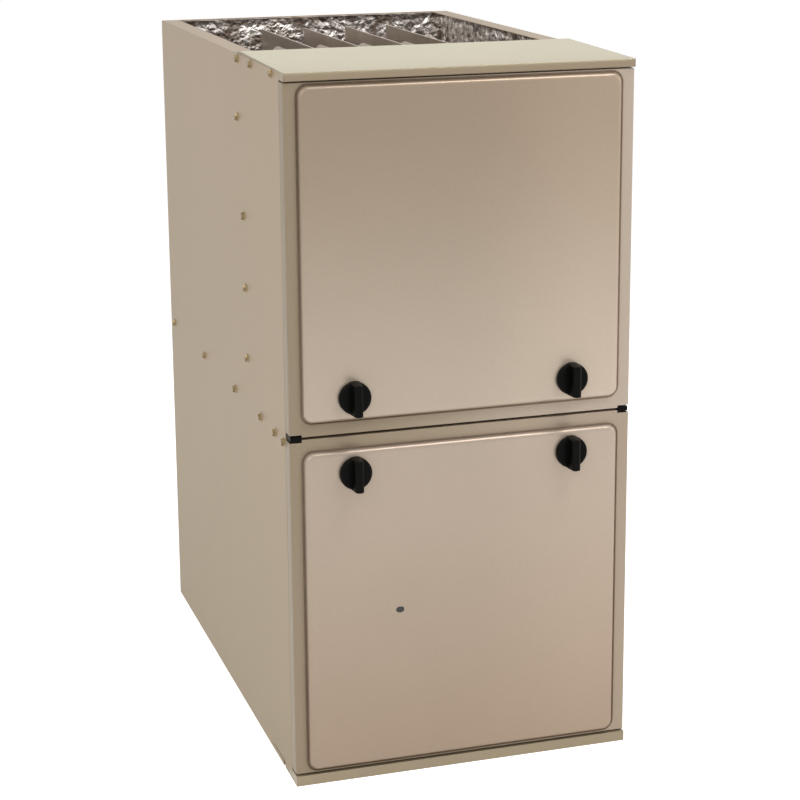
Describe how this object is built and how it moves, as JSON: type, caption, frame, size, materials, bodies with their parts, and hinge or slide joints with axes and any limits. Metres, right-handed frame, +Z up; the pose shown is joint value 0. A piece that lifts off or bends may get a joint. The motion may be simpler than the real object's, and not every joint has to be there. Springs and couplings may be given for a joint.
{
  "type": "forced air gas furnace",
  "caption": "Upright forced air furnace cabinet with lift-off front doors on turn latches, clamshell heat exchanger, burners, vent fan and centrifugal blower.",
  "frame": {"origin": "centre of the bounding box in X and Y, on the floor under the base", "axes": "+X across the front to the right, +Y from the doors to the back, +Z up"},
  "size_m": [0.4428, 0.7434, 0.889],
  "materials": {
    "painted_cabinet": "satin",
    "painted_base": "satin",
    "painted_cap": "satin",
    "painted_door": "satin",
    "galvanised": "dull zinc",
    "foil": "crinkled foil",
    "cell_steel": "heat dulled",
    "collector_steel": "dull",
    "burner_steel": "dull",
    "black_iron": "dull",
    "brass": "machined",
    "valve_alloy": "die cast",
    "blue_plastic": "glossy",
    "ceramic": "dull",
    "black_plastic": "satin",
    "inducer_steel": "satin",
    "motor_paint": "satin",
    "wheel_steel": "zinc",
    "rubber": "dull",
    "shaft_steel": "ground",
    "can_aluminium": "drawn",
    "green_board": "coated",
    "transformer_iron": "varnished",
    "red_plastic": "glossy",
    "felt": "felt",
    "sight_glass": "clear",
    "yellow_zinc": "yellow zinc"
  },
  "bodies": {
    "cabinet": {"wrapper": "painted_cabinet", "base_pan": "painted_base", "top_cap": "painted_cap", "divider_rail": "painted_cabinet", "divider_brackets": "galvanised", "divider_blocks": "black_plastic", "blower_deck": "galvanised", "vestibule_panel": "galvanised", "liner_back": "foil", "liner_left": "foil", "liner_right": "foil", "heat_cell_1": "cell_steel", "heat_cell_2": "cell_steel", "heat_cell_3": "cell_steel", "heat_cell_4": "cell_steel", "collector_box": "collector_steel", "burner_rack": "galvanised", "burners": "burner_steel", "manifold": "black_iron", "orifices": "brass", "gas_valve": "valve_alloy", "gas_pipe": "black_iron", "igniter": "ceramic", "flame_sensor": "ceramic", "rollout_switches": "black_plastic", "limit_switch": "black_plastic", "inducer_housing": "inducer_steel", "inducer_motor": "motor_paint", "vent_pipe": "galvanised", "pressure_switch": "ceramic", "pressure_hose": "rubber", "blower_housing": "galvanised", "blower_motor": "motor_paint", "motor_mount": "galvanised", "capacitor": "can_aluminium", "control_panel": "galvanised", "control_board": "green_board", "transformer": "transformer_iron", "junction_box": "galvanised", "door_switch": "black_plastic", "harness": "rubber", "side_screws": "yellow_zinc"},
    "upper_door_body": {"upper_door": "painted_door", "upper_door_pad": "foil"},
    "lower_door_body": {"lower_door": "painted_door", "lower_door_pad": "felt", "sight_glass": "sight_glass"},
    "latch_upper_left": {"knob_upper_left": "black_plastic", "cam_upper_left": "yellow_zinc"},
    "latch_upper_right": {"knob_upper_right": "black_plastic", "cam_upper_right": "yellow_zinc"},
    "latch_lower_left": {"knob_lower_left": "black_plastic", "cam_lower_left": "yellow_zinc"},
    "latch_lower_right": {"knob_lower_right": "black_plastic", "cam_lower_right": "yellow_zinc"},
    "blower_rotor": {"blower_wheel": "wheel_steel", "blower_shaft": "shaft_steel"},
    "inducer_rotor": {"inducer_wheel": "wheel_steel"},
    "valve_dial": {"valve_knob": "blue_plastic"},
    "switch_button": {"switch_plunger": "red_plastic"}
  },
  "joints": [
    {"name": "upper_door_pull", "type": "slide", "parent": "cabinet", "child": "upper_door_body", "axis": [0, -1, 0], "range_m": [0, 0.42]},
    {"name": "lower_door_pull", "type": "slide", "parent": "cabinet", "child": "lower_door_body", "axis": [0, -1, 0], "range_m": [0, 0.42]},
    {"name": "upper_left_turn", "type": "hinge", "parent": "upper_door_body", "child": "latch_upper_left", "pos_m": [-0.1395, -0.35, 0.494], "axis": [0, 1, 0], "range_deg": [0, 90]},
    {"name": "upper_right_turn", "type": "hinge", "parent": "upper_door_body", "child": "latch_upper_right", "pos_m": [0.1395, -0.35, 0.494], "axis": [0, -1, 0], "range_deg": [0, 90]},
    {"name": "lower_left_turn", "type": "hinge", "parent": "lower_door_body", "child": "latch_lower_left", "pos_m": [-0.1395, -0.35, 0.4], "axis": [0, -1, 0], "range_deg": [0, 90]},
    {"name": "lower_right_turn", "type": "hinge", "parent": "lower_door_body", "child": "latch_lower_right", "pos_m": [0.1395, -0.35, 0.4], "axis": [0, 1, 0], "range_deg": [0, 90]},
    {"name": "blower_spin", "type": "hinge", "parent": "cabinet", "child": "blower_rotor", "pos_m": [0, 0.12045, 0.226], "axis": [1, 0, 0], "continuous": true},
    {"name": "inducer_spin", "type": "hinge", "parent": "cabinet", "child": "inducer_rotor", "pos_m": [-0.03, -0.18, 0.79], "axis": [0, 1, 0], "continuous": true},
    {"name": "valve_turn", "type": "hinge", "parent": "cabinet", "child": "valve_dial", "pos_m": [0.153, -0.318, 0.542], "axis": [0, -1, 0], "range_deg": [0, 90]},
    {"name": "plunger_out", "type": "slide", "parent": "cabinet", "child": "switch_button", "axis": [0, -1, 0], "range_m": [0, 0.006]}
  ],
  "couplings": [
    {"joint": "plunger_out", "follows": "lower_door_pull", "ratio": 0.014286}
  ]
}
